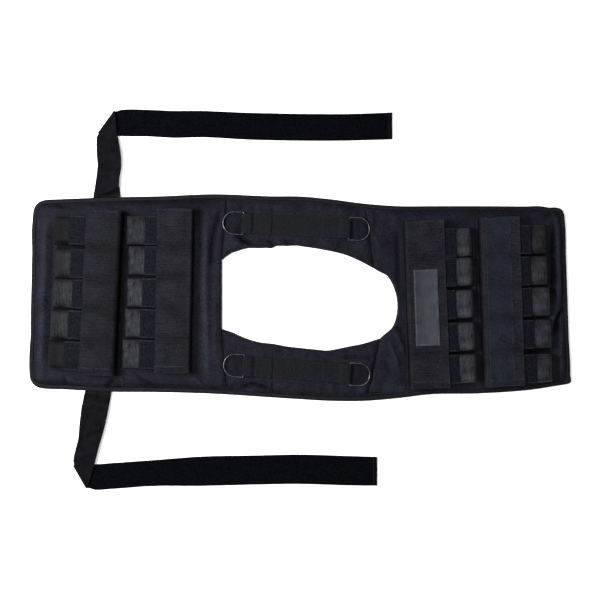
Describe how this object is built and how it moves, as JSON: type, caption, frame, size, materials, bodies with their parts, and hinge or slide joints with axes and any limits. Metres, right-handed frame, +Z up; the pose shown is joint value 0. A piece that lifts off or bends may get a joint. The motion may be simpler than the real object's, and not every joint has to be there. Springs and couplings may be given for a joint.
{
  "type": "weighted vest",
  "caption": "Padded training vest laid out flat: front and back panels with rows of weight pockets under flaps, shoulder D-rings and waist belts.",
  "frame": {"origin": "on the surface that the vest lies on, in the middle of the outline of vest and belts", "axes": "+X from the back panel's hem to the front panel's hem, +Y towards the wearer's left, +Z up out of the outer face"},
  "size_m": [1.0022, 0.704, 0.0363],
  "materials": {
    "oxford_cloth": "plain-woven nylon over thin padding, matt black",
    "binding_tape": "black tape turned over the edge and stitched",
    "pocket_webbing": "ribbed black webbing with a slight sheen",
    "loop_pile": "matt black hook-and-loop pile",
    "flap_webbing": "wide ribbed black webbing",
    "label_satin": "bare satin patch, dark grey",
    "shoulder_webbing": "close-woven black webbing",
    "ring_steel": "dark plated steel wire",
    "belt_webbing": "black hook-and-loop webbing belt"
  },
  "bodies": {
    "vest": {"back_panel": "oxford_cloth", "front_panel": "oxford_cloth", "shoulder_panel_left": "oxford_cloth", "shoulder_panel_right": "oxford_cloth", "edge_binding": "binding_tape", "pocket_back_lower_1": "pocket_webbing", "pocket_back_lower_2": "pocket_webbing", "pocket_back_lower_3": "pocket_webbing", "pocket_back_lower_4": "pocket_webbing", "pocket_back_lower_5": "pocket_webbing", "loop_back_lower_1": "loop_pile", "loop_back_lower_2": "loop_pile", "loop_back_lower_3": "loop_pile", "loop_back_lower_4": "loop_pile", "loop_back_lower_5": "loop_pile", "flap_back_lower": "flap_webbing", "pocket_back_upper_1": "pocket_webbing", "pocket_back_upper_2": "pocket_webbing", "pocket_back_upper_3": "pocket_webbing", "pocket_back_upper_4": "pocket_webbing", "pocket_back_upper_5": "pocket_webbing", "loop_back_upper_1": "loop_pile", "loop_back_upper_2": "loop_pile", "loop_back_upper_3": "loop_pile", "loop_back_upper_4": "loop_pile", "loop_back_upper_5": "loop_pile", "flap_back_upper": "flap_webbing", "pocket_front_lower_1": "pocket_webbing", "pocket_front_lower_2": "pocket_webbing", "pocket_front_lower_3": "pocket_webbing", "pocket_front_lower_4": "pocket_webbing", "pocket_front_lower_5": "pocket_webbing", "loop_front_lower_1": "loop_pile", "loop_front_lower_2": "loop_pile", "loop_front_lower_3": "loop_pile", "loop_front_lower_4": "loop_pile", "loop_front_lower_5": "loop_pile", "flap_front_lower": "flap_webbing", "pocket_front_upper_1": "pocket_webbing", "pocket_front_upper_2": "pocket_webbing", "pocket_front_upper_3": "pocket_webbing", "pocket_front_upper_4": "pocket_webbing", "pocket_front_upper_5": "pocket_webbing", "loop_front_upper_1": "loop_pile", "loop_front_upper_2": "loop_pile", "loop_front_upper_3": "loop_pile", "loop_front_upper_4": "loop_pile", "loop_front_upper_5": "loop_pile", "flap_front_upper": "flap_webbing", "label_patch": "label_satin", "shoulder_web_left": "shoulder_webbing", "shoulder_web_right": "shoulder_webbing", "belt_left": "belt_webbing", "belt_right": "belt_webbing"},
    "ring_left_front": {"d_ring_left_front": "ring_steel"},
    "ring_left_back": {"d_ring_left_back": "ring_steel"},
    "ring_right_front": {"d_ring_right_front": "ring_steel"},
    "ring_right_back": {"d_ring_right_back": "ring_steel"}
  },
  "joints": [
    {"name": "d_ring_left_front_hinge", "type": "hinge", "parent": "vest", "child": "ring_left_front", "pos_m": [0.09118, 0.13021, 0.0121], "axis": [-0.0489, -0.9988, 0], "range_deg": [0, 175]},
    {"name": "d_ring_left_back_hinge", "type": "hinge", "parent": "vest", "child": "ring_left_back", "pos_m": [-0.10399, 0.13975, 0.0121], "axis": [0.0489, 0.9988, 0], "range_deg": [0, 175]},
    {"name": "d_ring_right_front_hinge", "type": "hinge", "parent": "vest", "child": "ring_right_front", "pos_m": [0.09204, -0.13759, 0.0121], "axis": [-0.0732, -0.9973, 0], "range_deg": [0, 175]},
    {"name": "d_ring_right_back_hinge", "type": "hinge", "parent": "vest", "child": "ring_right_back", "pos_m": [-0.10283, -0.12328, 0.0121], "axis": [0.0732, 0.9973, 0], "range_deg": [0, 175]}
  ]
}
